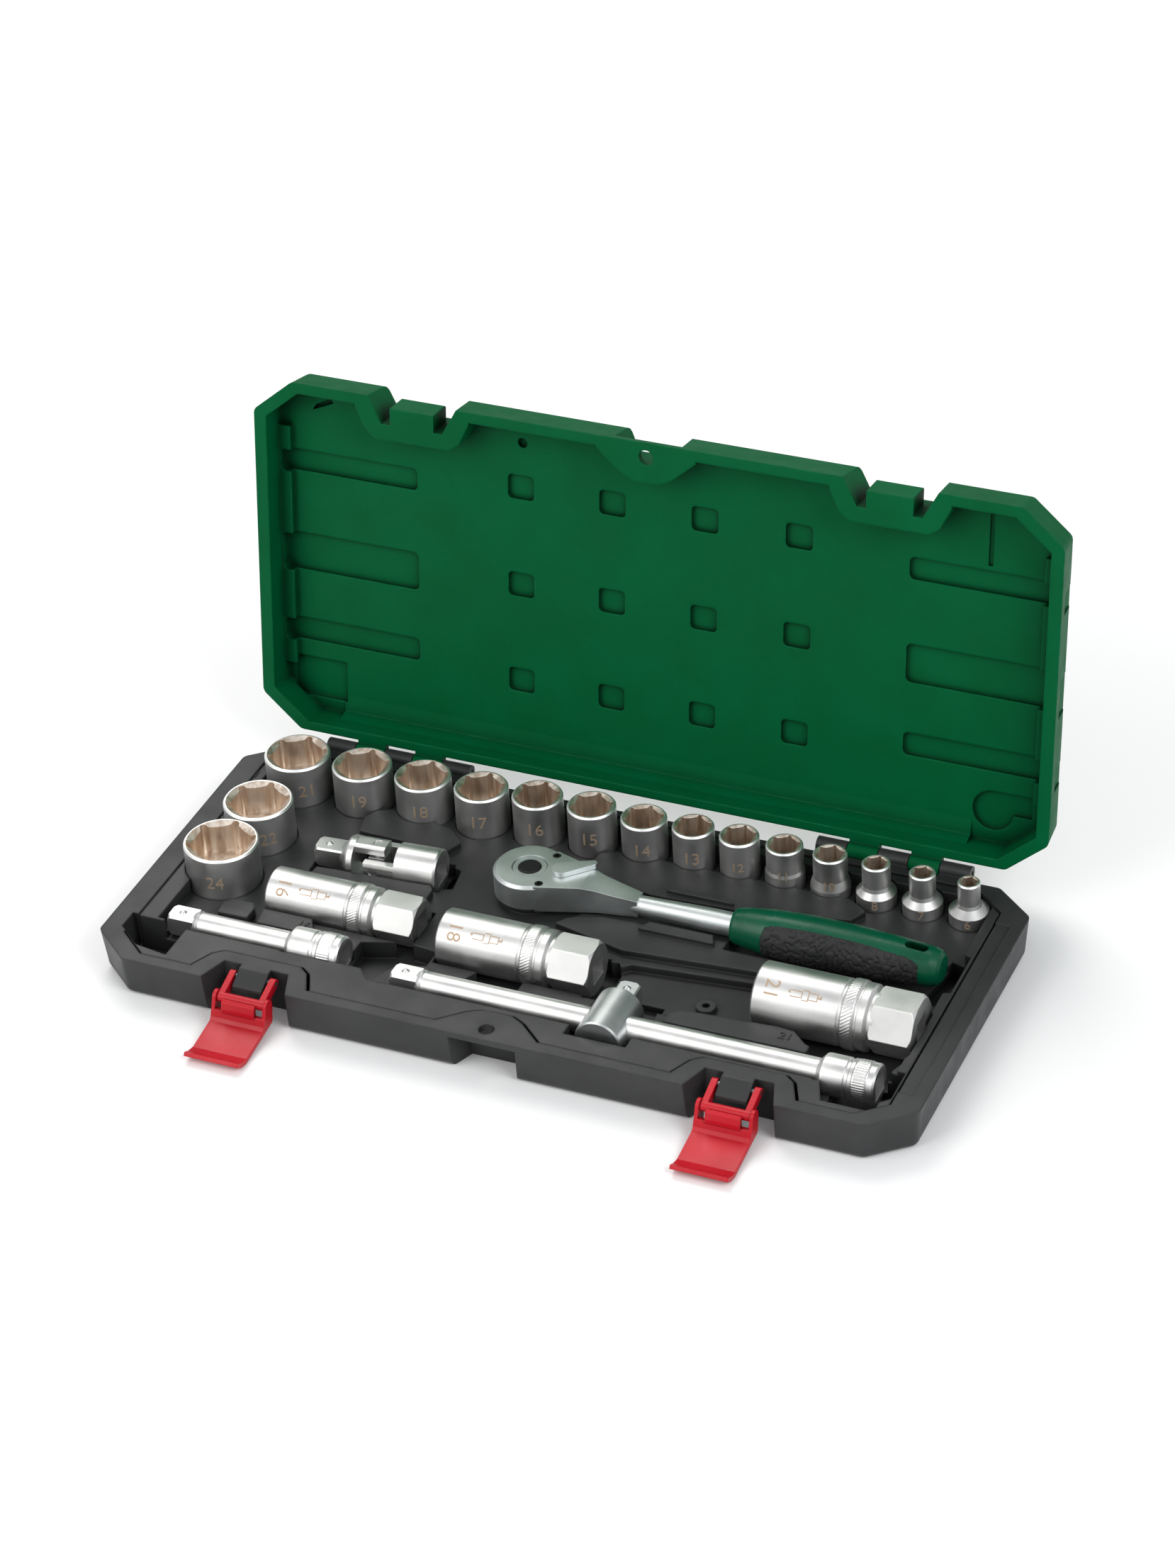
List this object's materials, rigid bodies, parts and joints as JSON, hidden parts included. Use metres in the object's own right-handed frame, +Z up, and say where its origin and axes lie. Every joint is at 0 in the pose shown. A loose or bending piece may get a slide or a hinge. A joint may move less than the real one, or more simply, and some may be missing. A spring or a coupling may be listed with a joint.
{
  "type": "socket wrench set in case",
  "caption": "Hinged moulded case with a reversible ratchet, hexagon sockets, spark plug sockets, extension bars, a sliding drive and a universal joint, each in its own well.",
  "frame": {"origin": "centre of the case's underside", "axes": "+X from the side with the largest sockets to the side with the smallest, +Y from the latches to the hinge, +Z up"},
  "size_m": [0.36, 0.2406, 0.1854],
  "materials": {
    "case_plastic": "fine grained moulding",
    "tray_plastic": "fine grained moulding",
    "lid_plastic": "fine grained moulding",
    "latch_plastic": "satin gloss",
    "pin_steel": "plain wire",
    "socket_chrome": "satin chrome with bright rims",
    "polished_chrome": "satin to polished chrome",
    "ratchet_chrome": "satin chrome",
    "ball_steel": "polished",
    "button_plastic": "black",
    "handle_plastic": "satin",
    "grip_rubber": "textured",
    "insert_rubber": "smooth"
  },
  "bodies": {
    "case": {"case_base": "case_plastic", "tool_tray": "tray_plastic", "hinge_pins": "pin_steel", "latch_pins": "pin_steel"},
    "lid": {"case_lid": "lid_plastic"},
    "latch_link_left": {"latch_link_left": "latch_plastic"},
    "latch_lever_left": {"latch_lever_left": "latch_plastic"},
    "latch_link_right": {"latch_link_right": "latch_plastic"},
    "latch_lever_right": {"latch_lever_right": "latch_plastic"},
    "socket_06": {"socket_06": "socket_chrome"},
    "socket_07": {"socket_07": "socket_chrome"},
    "socket_08": {"socket_08": "socket_chrome"},
    "socket_10": {"socket_10": "socket_chrome"},
    "socket_11": {"socket_11": "socket_chrome"},
    "socket_12": {"socket_12": "socket_chrome"},
    "socket_13": {"socket_13": "socket_chrome"},
    "socket_14": {"socket_14": "socket_chrome"},
    "socket_15": {"socket_15": "socket_chrome"},
    "socket_16": {"socket_16": "socket_chrome"},
    "socket_17": {"socket_17": "socket_chrome"},
    "socket_18": {"socket_18": "socket_chrome"},
    "socket_19": {"socket_19": "socket_chrome"},
    "socket_21": {"socket_21": "socket_chrome"},
    "socket_22": {"socket_22": "socket_chrome"},
    "socket_24": {"socket_24": "socket_chrome"},
    "plug_socket_16": {"plug_socket_16": "polished_chrome", "plug_insert_16": "insert_rubber"},
    "plug_socket_18": {"plug_socket_18": "polished_chrome", "plug_insert_18": "insert_rubber"},
    "plug_socket_21": {"plug_socket_21": "polished_chrome", "plug_insert_21": "insert_rubber"},
    "extension_short": {"extension_short": "polished_chrome", "extension_short_ball": "ball_steel"},
    "extension_long": {"extension_long": "polished_chrome", "extension_long_ball": "ball_steel"},
    "slider": {"slider_drive": "polished_chrome", "slider_ball": "ball_steel"},
    "joint_male": {"joint_male": "polished_chrome", "joint_ball": "ball_steel"},
    "joint_cross": {"joint_cross": "polished_chrome"},
    "joint_female": {"joint_female": "polished_chrome"},
    "ratchet": {"ratchet_body": "ratchet_chrome", "ratchet_screws": "button_plastic", "ratchet_handle": "handle_plastic", "ratchet_grip": "grip_rubber"},
    "ratchet_spindle": {"ratchet_spindle": "ratchet_chrome"},
    "ratchet_button": {"ratchet_button": "button_plastic"},
    "ratchet_lever": {"ratchet_lever": "ratchet_chrome"}
  },
  "joints": [
    {"name": "lid_hinge", "type": "hinge", "parent": "case", "child": "lid", "pos_m": [0, 0.0866, 0.019], "axis": [-1, 0, 0], "range_deg": [-98, 0]},
    {"name": "latch_link_left_hinge", "type": "hinge", "parent": "case", "child": "latch_link_left", "pos_m": [-0.106, -0.0722, 0.0155], "axis": [-1, 0, 0], "range_deg": [-69, 2]},
    {"name": "latch_lever_left_hinge", "type": "hinge", "parent": "latch_link_left", "child": "latch_lever_left", "pos_m": [-0.106, -0.08319, 0.0121], "axis": [1, 0, 0], "range_deg": [-168, 4.87]},
    {"name": "latch_link_right_hinge", "type": "hinge", "parent": "case", "child": "latch_link_right", "pos_m": [0.106, -0.0722, 0.0155], "axis": [-1, 0, 0], "range_deg": [-69, 2]},
    {"name": "latch_lever_right_hinge", "type": "hinge", "parent": "latch_link_right", "child": "latch_lever_right", "pos_m": [0.106, -0.08319, 0.0121], "axis": [1, 0, 0], "range_deg": [-168, 4.87]},
    {"name": "socket_06_lift", "type": "slide", "parent": "case", "child": "socket_06", "axis": [0, 0, 1], "range_m": [0, 0.06]},
    {"name": "socket_07_lift", "type": "slide", "parent": "case", "child": "socket_07", "axis": [0, 0, 1], "range_m": [0, 0.06]},
    {"name": "socket_08_lift", "type": "slide", "parent": "case", "child": "socket_08", "axis": [0, 0, 1], "range_m": [0, 0.06]},
    {"name": "socket_10_lift", "type": "slide", "parent": "case", "child": "socket_10", "axis": [0, 0, 1], "range_m": [0, 0.06]},
    {"name": "socket_11_lift", "type": "slide", "parent": "case", "child": "socket_11", "axis": [0, 0, 1], "range_m": [0, 0.06]},
    {"name": "socket_12_lift", "type": "slide", "parent": "case", "child": "socket_12", "axis": [0, 0, 1], "range_m": [0, 0.06]},
    {"name": "socket_13_lift", "type": "slide", "parent": "case", "child": "socket_13", "axis": [0, 0, 1], "range_m": [0, 0.06]},
    {"name": "socket_14_lift", "type": "slide", "parent": "case", "child": "socket_14", "axis": [0, 0, 1], "range_m": [0, 0.06]},
    {"name": "socket_15_lift", "type": "slide", "parent": "case", "child": "socket_15", "axis": [0, 0, 1], "range_m": [0, 0.06]},
    {"name": "socket_16_lift", "type": "slide", "parent": "case", "child": "socket_16", "axis": [0, 0, 1], "range_m": [0, 0.06]},
    {"name": "socket_17_lift", "type": "slide", "parent": "case", "child": "socket_17", "axis": [0, 0, 1], "range_m": [0, 0.06]},
    {"name": "socket_18_lift", "type": "slide", "parent": "case", "child": "socket_18", "axis": [0, 0, 1], "range_m": [0, 0.06]},
    {"name": "socket_19_lift", "type": "slide", "parent": "case", "child": "socket_19", "axis": [0, 0, 1], "range_m": [0, 0.06]},
    {"name": "socket_21_lift", "type": "slide", "parent": "case", "child": "socket_21", "axis": [0, 0, 1], "range_m": [0, 0.06]},
    {"name": "socket_22_lift", "type": "slide", "parent": "case", "child": "socket_22", "axis": [0, 0, 1], "range_m": [0, 0.06]},
    {"name": "socket_24_lift", "type": "slide", "parent": "case", "child": "socket_24", "axis": [0, 0, 1], "range_m": [0, 0.06]},
    {"name": "plug_socket_16_lift", "type": "slide", "parent": "case", "child": "plug_socket_16", "axis": [0, 0, 1], "range_m": [0, 0.06]},
    {"name": "plug_socket_18_lift", "type": "slide", "parent": "case", "child": "plug_socket_18", "axis": [0, 0, 1], "range_m": [0, 0.06]},
    {"name": "plug_socket_21_lift", "type": "slide", "parent": "case", "child": "plug_socket_21", "axis": [0, 0, 1], "range_m": [0, 0.06]},
    {"name": "extension_short_lift", "type": "slide", "parent": "case", "child": "extension_short", "axis": [0, 0, 1], "range_m": [0, 0.06]},
    {"name": "extension_long_lift", "type": "slide", "parent": "case", "child": "extension_long", "axis": [0, 0, 1], "range_m": [0, 0.06]},
    {"name": "slider_slide", "type": "slide", "parent": "extension_long", "child": "slider", "axis": [1, 0, 0], "range_m": [-0.003, 0.003]},
    {"name": "joint_lift", "type": "slide", "parent": "case", "child": "joint_male", "axis": [0, 0, 1], "range_m": [0, 0.06]},
    {"name": "joint_cross_hinge", "type": "hinge", "parent": "joint_male", "child": "joint_cross", "pos_m": [-0.0925, 0.0202, 0.015], "axis": [0, 0, 1], "range_deg": [-1, 1]},
    {"name": "joint_female_hinge", "type": "hinge", "parent": "joint_cross", "child": "joint_female", "pos_m": [-0.0925, 0.0202, 0.015], "axis": [0.061, -0.9981, 0], "range_deg": [0, 30]},
    {"name": "ratchet_lift", "type": "slide", "parent": "case", "child": "ratchet", "axis": [0, 0, 1], "range_m": [0, 0.06]},
    {"name": "ratchet_spindle_turn", "type": "hinge", "parent": "ratchet", "child": "ratchet_spindle", "pos_m": [-0.0236, 0.0226, 0.02], "axis": [0, 0, 1], "continuous": true},
    {"name": "ratchet_button_press", "type": "slide", "parent": "ratchet_spindle", "child": "ratchet_button", "axis": [0, 0, 1], "range_m": [-0.002, 0], "stiffness_N_per_m": 300, "springref_m": 0.001},
    {"name": "ratchet_lever_turn", "type": "hinge", "parent": "ratchet", "child": "ratchet_lever", "pos_m": [-0.0092, 0.0227, 0.027], "axis": [0, 0, 1], "range_deg": [-68, 0]}
  ],
  "couplings": [
    {"joint": "latch_lever_left_hinge", "follows": "latch_link_left_hinge", "ratio": 2.4348},
    {"joint": "latch_lever_right_hinge", "follows": "latch_link_right_hinge", "ratio": 2.4348}
  ]
}
